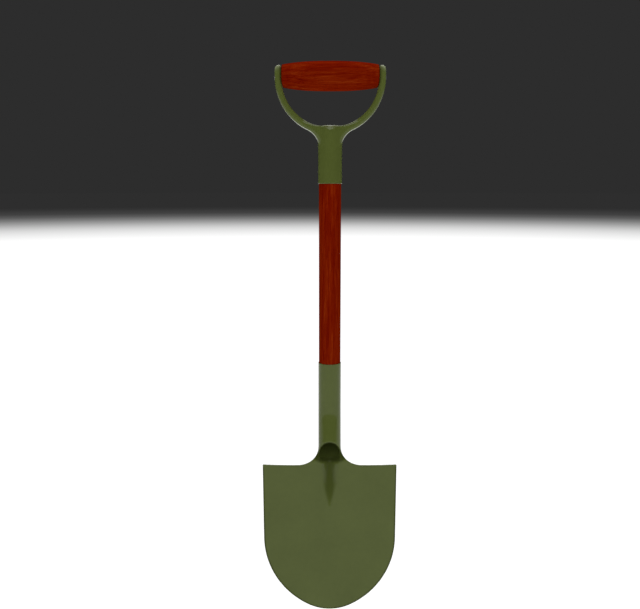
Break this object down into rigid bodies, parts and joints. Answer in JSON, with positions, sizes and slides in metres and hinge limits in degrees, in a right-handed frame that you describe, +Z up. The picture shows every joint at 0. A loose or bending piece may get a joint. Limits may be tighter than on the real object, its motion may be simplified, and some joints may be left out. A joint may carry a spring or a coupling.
{
  "type": "garden spade",
  "caption": "Compact digging spade: D-shaped steel handle frame with a wooden cross grip, straight wooden shaft, and a round-nosed pressed steel blade whose rolled socket is bent forward.",
  "frame": {"origin": "middle of the hand grip, on its axis and on the axis of the shaft", "axes": "+Z up along the shaft from the blade to the hand grip, +X along the hand grip, -Y the way the hollow face of the blade looks"},
  "size_m": [0.1786, 0.0519, 0.7211],
  "materials": {
    "enamelled_steel": "gloss",
    "stained_wood": "semi-gloss",
    "bare_steel": "satin"
  },
  "bodies": {
    "root": {"blade": "enamelled_steel", "shaft": "stained_wood", "d_frame": "enamelled_steel", "hand_grip": "stained_wood", "grip_rod": "bare_steel", "upper_socket_screw": "bare_steel", "lower_socket_screw_upper": "bare_steel", "lower_socket_screw_lower": "bare_steel"}
  },
  "joints": []
}
